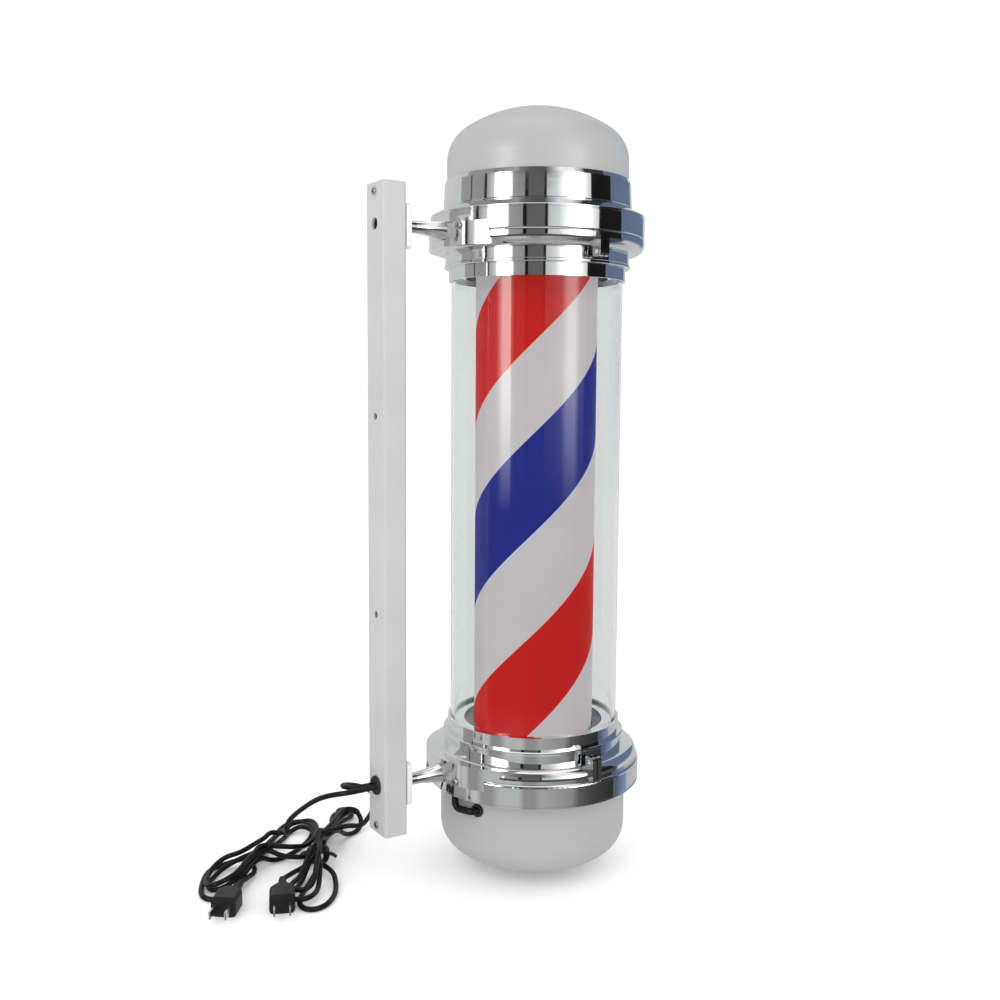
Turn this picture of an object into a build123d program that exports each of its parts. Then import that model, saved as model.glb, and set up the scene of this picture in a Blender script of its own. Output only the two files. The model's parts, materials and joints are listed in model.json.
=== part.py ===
"""Wall-mounted rotating barber pole light.

Row frame: the origin is the centre of the two wall-screw holes on the back face of the wall bar,
+Y points into the wall, the pole stands out along -Y and +Z is up. Millimetres.
Pole pieces are modelled on the pole's own axis, with z = 0 at mid height, and moved into place last.
Pieces of the lower end are built like the upper ones and mirrored.
"""
from build123d import *
from math import atan2, cos, degrees, radians, sin, tan
import os

# ---------------------------------------------------------------- driving dimensions
POLE_OUT = 158.0          # wall to pole axis
POLE_RISE = 4.0           # mid height of the pole above the centre of the wall screws

TUBE_R = 75.0             # clear outer tube
TUBE_WALL = 3.0
TUBE_END = 201.0          # half length of the clear tube
SEAL_END = 203.0          # far side of the rubber seal behind the tube's end

DRUM_R = 53.5             # striped drum, over its printed film
FILM = 0.3
DRUM_WALL = 2.0
DRUM_END = 201.0          # half length of the drum's cylinder
DISC_END = 203.5          # outer face of the drum's end discs

RIM_Z = 193.3             # where each collar starts on the clear tube
RIM_R = 77.3
BEAD_Z = 204.3            # bead between the rim and the neck
BEAD_R = 81.3
BEAD_H = 3.0
NECK_R = 80.5
LIP_BORE_R = 62.4         # opening of the collar's inner ring, around the drum
LIP_Z = 196.0
SHELF_Z = 208.0           # shelf that carries the end plates
FLANGE_Z = 228.0          # tube side of the flange
FLANGE_TOP = 248.5        # dome side of the flange
UPPER_FLANGE_R = 93.3
LOWER_FLANGE_R = 95.6
CAST_WALL = 3.0
FIT = 0.05                # gap between pieces that fit into each other

BAND_R = 82.0             # plain band between the upper flange and the upper dome
BAND_START = 254.5
BAND_TOP = 279.0
UPPER_DOME_R = 79.1
UPPER_DOME_SPRING = 296.0
UPPER_DOME_RISE = 46.4
LOWER_DOME_R = 83.5
LOWER_DOME_SPRING = 289.0
LOWER_DOME_RISE = 39.7
DOME_WALL = 2.0
DOME_KNUCKLE = 0.69       # knuckle radius over the dome's rise

RING_R = 93.5             # clamp ring of each arm, seated under the flange
RING_Z = 216.5
SPLIT = 1.0               # gap between the two halves of a clamp ring
LUG_Z = 208.0             # tube side of the closing lugs
ARM_Z = 232.4             # bore of each arm, at its root on the plate
ARM_R = 5.2
ARM_TOP = 237.6           # dome side of each arm
ARM_FOOT_R = 7.6
HORN_START = 122.0        # where the arm starts to flare, from the pole's axis
HORN_ARC = 62.0           # radius of the flare
HORN_TURN = 54.0          # degrees that the flare opens to
HORN_LOW = 209.0          # tube side of the horn's mouth
PAD_SHIFT = 23.0          # pad's circle, set towards the wall so that the pad thins out on the flange
PAD_TOP = 236.6
PAD_RISE = 4.2            # pad over the flange wall, at the arm
PLATE_Z = 231.0           # middle of each mounting plate

BAR_W = 31.5
BAR_D = 21.0
BAR_WALL = 2.0
BAR_HALF = 266.9
CAP_T = 2.5
PLATE_W = 31.0
PLATE_H = 36.0
PLATE_T = 5.0
WALL_SCREW_SPACING = 164.0
WALL_SCREW_R = 3.0
END_SCREW_Z = 262.0
ACCESS_R = 5.0            # hole in the bar's back behind the upper arm's bore
LEAD_R = 3.0              # inner leads, in the bar and the arms
LEAD_BORE_R = 3.6

MOTOR_R = 25.0
SHAFT_R = 3.5
STEM_R = 15.0
LAMP_R = 18.0

FLOOR_Z = POLE_RISE - LOWER_DOME_SPRING - LOWER_DOME_RISE - 1.0
CORD_R = 2.25
CORD_Z = FLOOR_Z + CORD_R
EXIT_Z = POLE_RISE - 231.7
HANK_H = 13.0

os.makedirs("parts", exist_ok=True)
POLE = Location((0, -POLE_OUT, POLE_RISE))


# ---------------------------------------------------------------- smaller features
GROMMET_R = 8.0
GROMMET_NECK_R = 6.2
GROMMET_FACE = 2.5
CAP_PLUG = 14.0
END_SCREW_R = 1.9
PLATE_BOLT_X = 10.0
PLATE_BOLT_Z = 13.0
PLATE_SCREW_R = 1.6
END_PLATE_T = 2.5
END_PLATE_ANGLES = (60, 180, 300)
END_PLATE_SCREW_AT = 67.0
PAD_SCREW_ANGLES = (-14, 14)
PAD_SCREW_Z = 233.5
PAD_SCREW_SEAT = 2.4      # seat of a pad screw over the flange wall
PAD_SCREW_R = 2.0
LUG_IN, LUG_OUT, LUG_X = 86.0, 97.0, 91.5
LUG_D = 4.5
LUG_BOLT_Z = 212.2
LUG_HEAD_R = 2.8
LUG_SCREW_R = 2.3
DOME_SCREW_ANGLES = (22, 142, 262)
DOME_SCREW_Z = 244.8
DOME_SCREW_R = 1.7
LEAD_DROP_R = 88.6
LEAD_DROP_ANGLE = 7.0
LEAD_IN_ANGLE, LEAD_IN_Z = 22.0, 259.5
LEAD_DIP = 2.5
LEAD_POCKET = 15.0        # pocket in the lower flange where the lead turns aside
LEAD_BEND = 5.0
LEAD_GROMMET_NECK_R = 4.2
LEAD_GROMMET_LIP = 1.5
BUSH_R = 18.0
HUB_NOSE_R = 8.0
HUB_SCREW_Z = 186.0
MOTOR_EAR_X = 29.0
GEAR_TEETH = 24
STEM_BORE_R = 12.0
STEM_END = 186.0
CAP_R = 13.2
LAMP_LOW = -140.0


# ---------------------------------------------------------------- helpers
def save(name, shape):
    """Write one node."""
    shape.label = name
    export_step(shape, f"parts/{name}.step")


def save_on_pole(name, shape):
    """Move a shape from the pole's own axis to its place and write it."""
    save(name, POLE * shape)


def lower(shape):
    """Turn an upper-end shape into its lower-end mirror image."""
    return mirror(shape, about=Plane.XY)


def lathe(outline):
    """Turn a closed outline of (radius, height) about the pole axis."""
    return revolve(make_face(Plane.XZ * outline), axis=Axis.Z)


def turned(*points):
    """Turn a closed polygon of (radius, height) corners about the pole axis."""
    return lathe(Polyline(*points, close=True))


def ring(outer, inner, low, high):
    """Flat ring about the pole axis; an inner radius of 0 makes a disc."""
    outline = Circle(outer) - Circle(inner) if inner else Circle(outer)
    return extrude(Plane.XY.offset(low) * outline, high - low)


def rod(start, end, radius):
    """Round rod from one point to another."""
    start, end = Vector(*start), Vector(*end)
    plane = Plane(origin=start, z_dir=end - start)
    return extrude(plane * Circle(radius), (end - start).length)


def block(x, y, z):
    """Box between pairs of limits."""
    size = [high - low for low, high in (x, y, z)]
    middle = [(high + low) / 2 for low, high in (x, y, z)]
    return Pos(*middle) * Box(*size)


def polar(radius, angle, z):
    """Point at an angle measured from the arm's direction towards -X."""
    return (-radius * sin(radians(angle)), radius * cos(radians(angle)), z)


def screw(seat, into, head_r, head_h, shank_r, length):
    """Cross-recessed screw: seat is the centre of the face under its head, into is the way it drives."""
    plane = Plane(origin=seat, z_dir=into)
    head = extrude(plane * Circle(head_r), -head_h)
    rim = head.edges().filter_by(GeomType.CIRCLE).sort_by_distance(plane.origin - plane.z_dir * head_h)[0]
    head = fillet(rim, head_h * 0.5)
    recess = Box(head_r * 1.1, head_r * 0.28, head_h) + Box(head_r * 0.28, head_r * 1.1, head_h)
    return head + extrude(plane * Circle(shank_r), length) - plane * Pos(0, 0, -head_h) * recess


def group(shapes):
    """Several separate solids in one node."""
    return Compound(children=[solid for shape in shapes for solid in shape.solids()])


def smooth_tube(points, radius):
    """Round cord along straight runs joined by the largest even arcs that its runs allow."""
    corners = [Vector(*point) for point in points]
    radii = []
    for before, here, after in zip(corners, corners[1:], corners[2:]):
        turn = radians((here - before).get_angle(after - here))
        shorter = min((here - before).length, (after - here).length)
        radii.append(0.45 * shorter / tan(turn / 2))
    path = FilletPolyline(*corners, radius=radii)
    tube = sweep(Plane(origin=path @ 0, z_dir=path % 0) * Circle(radius), path=path)
    print(f"   tube length {path.length:.0f}, tightest arc {min(radii):.1f}")
    return tube


def bent_tube(points):
    """Inner lead with the same bend at each corner."""
    path = FilletPolyline(*points, radius=LEAD_BEND)
    return sweep(Plane(origin=path @ 0, z_dir=path % 0) * Circle(LEAD_R), path=path)


# ---------------------------------------------------------------- wall bar
def bar_section(inset, radius):
    outline = RectangleRounded(BAR_W - 2 * inset, BAR_D - 2 * inset, radius)
    return Pos(0, -BAR_D / 2) * outline


def wall_bar():
    section = bar_section(0, 2.5) - bar_section(BAR_WALL, 1)
    bar = extrude(Plane.XY.offset(-BAR_HALF) * section, 2 * BAR_HALF)
    access_z = POLE_RISE + ARM_Z
    for z in (WALL_SCREW_SPACING / 2, -WALL_SCREW_SPACING / 2):
        bar -= rod((0, 1, z), (0, -BAR_WALL - 1, z), WALL_SCREW_R)
        bar -= rod((0, -BAR_D + BAR_WALL + 1, z), (0, -BAR_D - 1, z), 2 * WALL_SCREW_R)
    bar -= rod((0, 1, access_z), (0, -BAR_WALL - 1, access_z), ACCESS_R)
    bar -= rod((0, 1, EXIT_Z), (0, -BAR_WALL - 1, EXIT_Z), GROMMET_NECK_R)
    inside, outside = -BAR_D + BAR_WALL + 1, -BAR_D - 1
    for end in (-1, 1):
        z = POLE_RISE + end * ARM_Z
        bar -= rod((0, inside, z), (0, outside, z), LEAD_BORE_R)
        for x, bolt_z in plate_bolts():
            z = POLE_RISE + end * bolt_z
            bar -= rod((x, inside, z), (x, outside, z), PLATE_SCREW_R)
    for z in (-END_SCREW_Z, END_SCREW_Z):
        bar -= rod((0, 1, z), (0, -BAR_WALL - 1, z), END_SCREW_R)
    return bar


def bar_cap():
    """Plastic end cap of the bar, for the top; its plug fits inside the bar."""
    plate = extrude(Plane.XY.offset(BAR_HALF) * bar_section(0, 2.5), CAP_T)
    plate = fillet(plate.faces().sort_by(Axis.Z)[-1].edges(), 0.8)
    plug = bar_section(BAR_WALL + FIT, 1) - bar_section(BAR_WALL + 2, 0.5)
    cap = plate + extrude(Plane.XY.offset(BAR_HALF - CAP_PLUG) * plug, CAP_PLUG)
    return cap - rod((0, 1, END_SCREW_Z), (0, -BAR_D / 2, END_SCREW_Z), END_SCREW_R)


def bar_end_screws():
    return group(screw((0, 0, z), (0, -1, 0), 3.2, 1.6, END_SCREW_R - FIT, 7)
                 for z in (-END_SCREW_Z, END_SCREW_Z))


def cord_grommet():
    """Rubber grommet in the back of the bar; the cords meet its face."""
    head = rod((0, GROMMET_FACE, EXIT_Z), (0, 0, EXIT_Z), GROMMET_R)
    head = fillet(head.edges().filter_by(GeomType.CIRCLE).sort_by(Axis.Y)[-1], 1.2)
    neck = rod((0, 0, EXIT_Z), (0, -BAR_WALL, EXIT_Z), GROMMET_NECK_R - FIT)
    return head + neck + rod((0, -BAR_WALL, EXIT_Z), (0, -BAR_WALL - 1.5, EXIT_Z), GROMMET_R - 0.6)


# ---------------------------------------------------------------- arms
def mount_plate():
    """Plate between the bar and an arm, on the pole's axis frame, upper end."""
    y = (POLE_OUT - BAR_D - PLATE_T, POLE_OUT - BAR_D)
    plate = block((-PLATE_W / 2, PLATE_W / 2), y, (PLATE_Z - PLATE_H / 2, PLATE_Z + PLATE_H / 2))
    plate = fillet(plate.edges().filter_by(Axis.Y), 3)
    plate = fillet(plate.faces().sort_by(Axis.Y)[0].edges(), 1)
    plate -= rod((0, y[0] - 1, ARM_Z), (0, y[1] + 1, ARM_Z), LEAD_BORE_R)
    for x, z in plate_bolts():
        plate -= rod((x, y[0] - 1, z), (x, y[1] + 1, z), PLATE_SCREW_R)
    return plate


def plate_bolts():
    return [(i * PLATE_BOLT_X, PLATE_Z + j * PLATE_BOLT_Z) for i in (-1, 1) for j in (-1, 1)]


def plate_screws():
    """Four screws that hold a plate to the bar."""
    y = POLE_OUT - BAR_D - PLATE_T
    return [screw((x, y, z), (0, 1, 0), 2.8, 1.3, PLATE_SCREW_R - FIT, PLATE_T + BAR_WALL + 2)
            for x, z in plate_bolts()]


def clamp_ring():
    """Whole clamp ring under the flange, before it is split: flat on the flange, round below."""
    inner = NECK_R + FIT
    width = RING_R - inner
    height = FLANGE_Z - FIT - RING_Z
    top = FLANGE_Z - FIT
    outline = Curve() + [
        Line((inner, RING_Z), (inner, top)),
        Line((inner, top), (RING_R, top)),
        Line((RING_R, top), (RING_R, top - 0.25 * height)),
        EllipticalCenterArc((RING_R - 0.6 * width, top - 0.25 * height), 0.6 * width, 0.75 * height, 270,
                            arc_size=90),
        Line((RING_R - 0.6 * width, RING_Z), (inner, RING_Z)),
    ]
    return lathe(outline)


def clamp_half(front):
    """One half of the clamp ring with its two closing lugs."""
    side = -1 if front else 1
    keep = block((-200, 200), (side * SPLIT / 2, side * 200) if side > 0 else (-200, -SPLIT / 2), (0, 400))
    half = clamp_ring() & keep
    far = side * LUG_D
    y = (SPLIT / 2, far) if side > 0 else (far, -SPLIT / 2)
    for sign in (-1, 1):
        x = sorted((sign * LUG_IN, sign * LUG_OUT))
        lug = block(x, y, (LUG_Z, FLANGE_Z - FIT))
        lug = fillet(lug.edges().filter_by(Axis.Y).sort_by(Axis.Z)[0:2], 3)
        half += lug
        bolt_r = LUG_SCREW_R if front else LUG_SCREW_R - 0.3
        half -= rod((sign * LUG_X, -20, LUG_BOLT_Z), (sign * LUG_X, 20, LUG_BOLT_Z), bolt_r)
    return half - ring(NECK_R + FIT, 0, LUG_Z - 1, FLANGE_Z)


def clamp_screws():
    """Screws that close a clamp ring, one at each side."""
    shank = LUG_SCREW_R - 0.3 - FIT
    return [screw((sign * LUG_X, -LUG_D, LUG_BOLT_Z), (0, 1, 0), LUG_HEAD_R, 2.0, shank, 2 * LUG_D)
            for sign in (-1, 1)]


def horn():
    """Arm's horn: round at its root on the plate, opening wide on the collar, level on its dome side."""
    root = POLE_OUT - BAR_D - PLATE_T
    flare = CenterArc((ARM_R + HORN_ARC, HORN_START), HORN_ARC, 180, HORN_TURN)
    mouth = flare @ 1
    outline = Curve() + [
        flare,
        Polyline((mouth.X, mouth.Y), (0, mouth.Y), (0, root), (ARM_R, root), (ARM_R, HORN_START)),
    ]
    solid = Pos(0, 0, ARM_Z) * revolve(make_face(outline), Axis.Y)
    return solid & block((-60, 60), (0, 200), (HORN_LOW, ARM_TOP))


def arm_pad(flange_r):
    """Shallow pad that thins out round the flange wall and backs onto the clamp ring."""
    low = RING_Z + 1
    circle = Pos(0, PAD_SHIFT) * Circle(flange_r + PAD_RISE - PAD_SHIFT)
    return extrude(Plane.XY.offset(low) * circle, PAD_TOP - low)


def arm(flange_r):
    """Cast arm: a horn with its pad on the flange wall and its half of the clamp ring."""
    root = POLE_OUT - BAR_D - PLATE_T
    foot = rod((0, root - 1.8, ARM_Z), (0, root, ARM_Z), ARM_FOOT_R)
    solid = horn() + arm_pad(flange_r) + foot
    solid -= ring(NECK_R + FIT, 0, 0, 400)
    solid -= ring(flange_r + FIT, 0, FLANGE_Z - FIT, 400)
    solid += clamp_half(front=False)
    solid -= rod((0, 60, ARM_Z), (0, root + 1, ARM_Z), LEAD_BORE_R)
    seat = flange_r + PAD_SCREW_SEAT
    for angle in PAD_SCREW_ANGLES:
        solid -= rod(polar(70, angle, PAD_SCREW_Z), polar(120, angle, PAD_SCREW_Z), PAD_SCREW_R)
        solid -= rod(polar(seat, angle, PAD_SCREW_Z), polar(120, angle, PAD_SCREW_Z), PAD_SCREW_R + 2.2)
    return solid


def pad_screws(flange_r):
    """Screws that pin an arm's pad to the flange wall."""
    seat = flange_r + PAD_SCREW_SEAT
    return [screw(polar(seat, angle, PAD_SCREW_Z), Vector(*polar(-1, angle, 0)), 3.2, 1.8,
                  PAD_SCREW_R - FIT, 5) for angle in PAD_SCREW_ANGLES]


# ---------------------------------------------------------------- collars, tube and seals
def tube_seat():
    """Corners of a collar's inner outline, from its dome side to the rim: shelf, inner ring, groove."""
    inside = TUBE_R - TUBE_WALL - FIT
    return [(NECK_R - CAST_WALL, SHELF_Z), (LIP_BORE_R, SHELF_Z), (LIP_BORE_R, LIP_Z), (inside, LIP_Z),
            (inside, SEAL_END), (TUBE_R + FIT, SEAL_END), (TUBE_R + FIT, RIM_Z)]


def outer_steps():
    """Corners of a collar's outer outline, from the rim to the flange."""
    return [(RIM_R, RIM_Z), (RIM_R, BEAD_Z), (BEAD_R - 0.6, BEAD_Z), (BEAD_R, BEAD_Z + 0.6),
            (BEAD_R, BEAD_Z + BEAD_H - 0.6), (BEAD_R - 0.6, BEAD_Z + BEAD_H), (NECK_R, BEAD_Z + BEAD_H),
            (NECK_R, FLANGE_Z)]


def flange_wall(radius):
    """Flange's outer outline with a rounded tube-side edge and a fine lip on its dome side."""
    edge = 2.5
    return [Line((NECK_R, FLANGE_Z), (radius - edge, FLANGE_Z)),
            CenterArc((radius - edge, FLANGE_Z + edge), edge, 270, 90),
            Polyline((radius, FLANGE_Z + edge), (radius, FLANGE_TOP - 3), (radius - 0.6, FLANGE_TOP - 2.6),
                     (radius - 0.6, FLANGE_TOP - 2.0), (radius, FLANGE_TOP - 1.6), (radius, FLANGE_TOP - 0.5),
                     (radius - 0.5, FLANGE_TOP))]


def upper_collar():
    r = UPPER_FLANGE_R
    spigot = BAND_R - 2.9
    inner = spigot - CAST_WALL
    outline = Curve() + [
        Polyline(*outer_steps()),
        *flange_wall(r),
        Polyline((r - 0.5, FLANGE_TOP), (BAND_R + 0.6, BAND_START - 0.5), (BAND_R + 0.6, BAND_START),
                 (spigot, BAND_START), (spigot, BAND_START + 10), (inner, BAND_START + 10),
                 (inner, BAND_START - 2), (r - 4, FLANGE_TOP - 3), (r - CAST_WALL, FLANGE_TOP - 4),
                 (r - CAST_WALL, FLANGE_Z + CAST_WALL), (NECK_R - CAST_WALL, FLANGE_Z + CAST_WALL)),
        Polyline((NECK_R - CAST_WALL, FLANGE_Z + CAST_WALL), *tube_seat(), (RIM_R, RIM_Z)),
    ]
    return collar_holes(lathe(outline))


def lower_collar():
    """Built at the upper end: its flange closes onto the lower dome's skirt."""
    r = LOWER_FLANGE_R
    bore = LOWER_DOME_R + FIT
    outline = Curve() + [
        Polyline(*outer_steps()),
        *flange_wall(r),
        Polyline((r - 0.5, FLANGE_TOP), (bore, FLANGE_TOP), (bore, FLANGE_TOP - 7),
                 (r - CAST_WALL, FLANGE_TOP - 7), (r - CAST_WALL, FLANGE_Z + CAST_WALL),
                 (NECK_R - CAST_WALL, FLANGE_Z + CAST_WALL)),
        Polyline((NECK_R - CAST_WALL, FLANGE_Z + CAST_WALL), *tube_seat(), (RIM_R, RIM_Z)),
    ]
    collar = collar_holes(lathe(outline))
    for angle in DOME_SCREW_ANGLES:
        start, end = polar(LOWER_DOME_R - 3, angle, DOME_SCREW_Z), polar(120, angle, DOME_SCREW_Z)
        collar -= rod(start, end, DOME_SCREW_R)
    inside, outside = [polar(LEAD_DROP_R, LEAD_DROP_ANGLE, FLANGE_TOP + z) for z in (-10, 5)]
    pocket = block((-LEAD_POCKET, LEAD_BORE_R), (LEAD_DROP_R - 4.5, LEAD_DROP_R + 3.5),
                   (ARM_Z - LEAD_BORE_R, ARM_Z + LEAD_BORE_R))
    return collar - pocket - rod(inside, outside, LEAD_BORE_R)


def collar_holes(collar):
    """Lead hole towards the arm, pad-screw holes and the holes that hold the end plate."""
    collar -= rod((0, 60, ARM_Z), (0, 120, ARM_Z), LEAD_BORE_R)
    for angle in PAD_SCREW_ANGLES:
        start, end = polar(80, angle, PAD_SCREW_Z), polar(120, angle, PAD_SCREW_Z)
        collar -= rod(start, end, PAD_SCREW_R)
    for angle in END_PLATE_ANGLES:
        x, y, _ = polar(END_PLATE_SCREW_AT, angle, 0)
        collar -= rod((x, y, SHELF_Z - 8), (x, y, SHELF_Z + 1), PLATE_SCREW_R)
    return collar


def clear_tube():
    return ring(TUBE_R, TUBE_R - TUBE_WALL, -TUBE_END, TUBE_END)


def tube_seal():
    return ring(TUBE_R, TUBE_R - TUBE_WALL, TUBE_END, SEAL_END)


def upper_band():
    """Plain band over the collar's spigot and the dome's skirt."""
    inner = BAND_R - 2.9 + FIT
    return turned((inner, BAND_START), (BAND_R - 0.5, BAND_START), (BAND_R, BAND_START + 1),
                  (BAND_R - 0.8, BAND_TOP - 3.5), (BAND_R - 2.0, BAND_TOP), (inner, BAND_TOP))


# ---------------------------------------------------------------- domes
def dome_arcs(radius, spring, rise, wall):
    """Knuckle and crown of a spun dome, two tangent arcs, offset inwards by a wall."""
    knuckle = DOME_KNUCKLE * rise
    crown = ((radius - knuckle) ** 2 + rise ** 2 - knuckle ** 2) / (2 * (rise - knuckle))
    join = degrees(atan2(crown - rise, radius - knuckle))
    return [CenterArc((radius - knuckle, spring), knuckle - wall, 0, join),
            CenterArc((0, spring + rise - crown), crown - wall, join, 90 - join)]


def dome(radius, skirt, spring, rise):
    """Spun dome: a straight skirt, a knuckle and a crown."""
    inside = radius - DOME_WALL
    outline = Curve() + [
        Line((radius, skirt), (radius, spring)),
        *dome_arcs(radius, spring, rise, 0),
        Line((0, spring + rise), (0, spring + rise - DOME_WALL)),
        *dome_arcs(radius, spring, rise, DOME_WALL),
        Line((inside, spring), (inside, skirt)),
        Line((inside, skirt), (radius, skirt)),
    ]
    return lathe(outline)


def lower_dome():
    """Built at the upper end, with a hole for the lead that comes down beside the arm."""
    shell = dome(LOWER_DOME_R, FLANGE_TOP - 7, LOWER_DOME_SPRING, LOWER_DOME_RISE)
    inner, outer = polar(60, LEAD_IN_ANGLE, LEAD_IN_Z), polar(100, LEAD_IN_ANGLE, LEAD_IN_Z)
    return shell - rod(inner, outer, LEAD_GROMMET_NECK_R)


def dome_screws():
    """Set screws through the lower flange, flush with its wall and tight on the dome's skirt."""
    head, tip = LOWER_FLANGE_R - 0.4, LOWER_DOME_R + FIT
    screws = []
    for angle in DOME_SCREW_ANGLES:
        body = rod(polar(head, angle, DOME_SCREW_Z), polar(tip, angle, DOME_SCREW_Z), DOME_SCREW_R - FIT)
        socket = rod(polar(head + 1, angle, DOME_SCREW_Z), polar(head - 1.6, angle, DOME_SCREW_Z), 0.9)
        screws.append(body - socket)
    return group(screws)


def lead_grommet():
    """Rubber grommet in the lower dome's wall, built at the upper end."""
    def at(radius):
        return polar(radius, LEAD_IN_ANGLE, LEAD_IN_Z)
    head = rod(at(LOWER_DOME_R + 1.5), at(LOWER_DOME_R - 1), LEAD_GROMMET_NECK_R + LEAD_GROMMET_LIP)
    head -= ring(LOWER_DOME_R + FIT, 0, LEAD_IN_Z - 20, LEAD_IN_Z + 20)
    neck = rod(at(LOWER_DOME_R + 0.5), at(LOWER_DOME_R - DOME_WALL - 1), LEAD_GROMMET_NECK_R - FIT)
    return head + neck - rod(at(100), at(60), LEAD_R)


# ---------------------------------------------------------------- drum
def drum_cylinder():
    outer = DRUM_R - FILM
    return ring(outer, outer - DRUM_WALL, -DRUM_END, DRUM_END)


def drum_film():
    return ring(DRUM_R, DRUM_R - FILM + 0.01, -DRUM_END, DRUM_END)


def end_disc(bore):
    """Disc that closes the drum's upper end, with a spigot inside the cylinder."""
    inside = DRUM_R - FILM - DRUM_WALL - FIT
    return turned((bore, DISC_END), (DRUM_R, DISC_END), (DRUM_R, DRUM_END), (inside, DRUM_END),
                  (inside, DRUM_END - 8), (inside - 3, DRUM_END - 8), (inside - 3, DRUM_END - 1),
                  (bore + 6, DRUM_END - 1), (bore + 6, DRUM_END - 9), (bore, DRUM_END - 9))


def vented(disc_shape):
    """Round openings between the rim and the hub of a drum disc."""
    for step in range(6):
        x, y, _ = polar(35, 60 * step, 0)
        disc_shape -= rod((x, y, DRUM_END - 20), (x, y, DISC_END + 1), 8)
    return disc_shape


def top_bush():
    """Nylon bush that turns on the lamp stem."""
    return ring(BUSH_R, STEM_R + FIT, DRUM_END - 9, DISC_END)


def drum_hub():
    """Hub on the motor shaft, pressed into the lower disc; built at the upper end."""
    hub = ring(BUSH_R - FIT, SHAFT_R, DRUM_END - 9, DISC_END)
    hub += ring(HUB_NOSE_R, SHAFT_R, DRUM_END - 20, DRUM_END - 9)
    return hub - rod((0, 0, HUB_SCREW_Z), (0, 30, HUB_SCREW_Z), 1.5)


def hub_set_screw():
    body = rod((0, SHAFT_R, HUB_SCREW_Z), (0, HUB_NOSE_R, HUB_SCREW_Z), 1.5)
    return body - rod((0, HUB_NOSE_R - 1.5, HUB_SCREW_Z), (0, HUB_NOSE_R + 1, HUB_SCREW_Z), 0.7)


# ---------------------------------------------------------------- lower end: motor
def end_plate(bore):
    """Plate screwed onto a collar's shelf."""
    plate = ring(NECK_R - CAST_WALL - 0.3, bore, SHELF_Z, SHELF_Z + END_PLATE_T)
    for angle in END_PLATE_ANGLES:
        x, y, _ = polar(END_PLATE_SCREW_AT, angle, 0)
        plate -= rod((x, y, SHELF_Z - 1), (x, y, SHELF_Z + 5), PLATE_SCREW_R)
    return plate


def end_plate_screws():
    top = SHELF_Z + END_PLATE_T
    points = [polar(END_PLATE_SCREW_AT, angle, top) for angle in END_PLATE_ANGLES]
    return [screw(point, (0, 0, -1), 3.0, 1.4, PLATE_SCREW_R - FIT, END_PLATE_T + 6) for point in points]


def motor_plate():
    plate = end_plate(9)
    for sign in (-1, 1):
        x = sign * MOTOR_EAR_X
        plate -= rod((x, 0, SHELF_Z - 1), (x, 0, SHELF_Z + 5), PLATE_SCREW_R)
    return plate


def motor_gearbox():
    """Gearbox of the synchronous motor: a shallow cup with a boss that carries the shaft."""
    low = SHELF_Z + END_PLATE_T
    box = turned((SHAFT_R + FIT, low - 2), (8.5, low - 2), (8.5, low), (MOTOR_R, low), (MOTOR_R, low + 9),
                 (MOTOR_R - 1.5, low + 9), (MOTOR_R - 1.5, low + 1.5), (8.5, low + 1.5), (8.5, low + 4),
                 (SHAFT_R + FIT, low + 4))
    for sign in (-1, 1):
        x = sorted((sign * (MOTOR_R - 1), sign * (MOTOR_EAR_X + 4)))
        ear = fillet(block(x, (-4, 4), (low, low + 1.5)).edges().filter_by(Axis.Z), 2)
        box += ear - rod((sign * MOTOR_EAR_X, 0, 0), (sign * MOTOR_EAR_X, 0, 300), PLATE_SCREW_R)
    return box - ring(MOTOR_R - 1.5, 8.5, low + 1.5, low + 9)


def motor_screws():
    seat = SHELF_Z + END_PLATE_T + 1.5
    return group(screw((sign * MOTOR_EAR_X, 0, seat), (0, 0, -1), 3.0, 1.4, PLATE_SCREW_R - FIT, 6)
                 for sign in (-1, 1))


def motor_body():
    """Motor's can, closing the gearbox."""
    low = SHELF_Z + END_PLATE_T + 9
    can = ring(MOTOR_R, 0, low, low + 21)
    can = fillet(can.edges().group_by(Axis.Z)[-1], 1.5)
    return can - ring(MOTOR_R - 2, 0, low + 2, low + 18)


def output_gear():
    """Last gear of the motor's gearbox, on the shaft."""
    low = SHELF_Z + END_PLATE_T + 4.4
    outline = Circle(13.0)
    for step in range(GEAR_TEETH):
        angle = 360 / GEAR_TEETH * step
        outline += Rot(0, 0, angle) * Pos(13.4, 0) * Rectangle(2.4, 1.2)
    return extrude(Plane.XY.offset(low) * (outline - Circle(SHAFT_R)), 3)


def motor_shaft():
    low, high = DRUM_END - 18, SHELF_Z + END_PLATE_T + 8
    shaft = ring(SHAFT_R, 0, low, high)
    return chamfer(shaft.edges().group_by(Axis.Z)[0], 0.6)


def terminal_block():
    """Two-way terminal block beside the motor, built at the upper end."""
    low = SHELF_Z + END_PLATE_T
    x = (36, 50)
    body = block(x, (-11, 11), (low, low + 11))
    body = chamfer(body.faces().sort_by(Axis.Z)[-1].edges(), 1.5)
    for y in (-5.5, 5.5):
        body -= rod((43, y, low + 4), (43, y, low + 20), 2.2)
        body -= rod((30, y, low + 4), (60, y, low + 4), 1.6)
    return body


# ---------------------------------------------------------------- upper end: lamp
def lamp_stem():
    """Flanged tube that hangs from the upper plate, carries the lamp and guides the drum."""
    seat = SHELF_Z + END_PLATE_T
    return turned((STEM_BORE_R, STEM_END), (STEM_R, STEM_END), (STEM_R, seat), (STEM_R + 8, seat),
                  (STEM_R + 8, seat + 2), (STEM_BORE_R, seat + 2))


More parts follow.
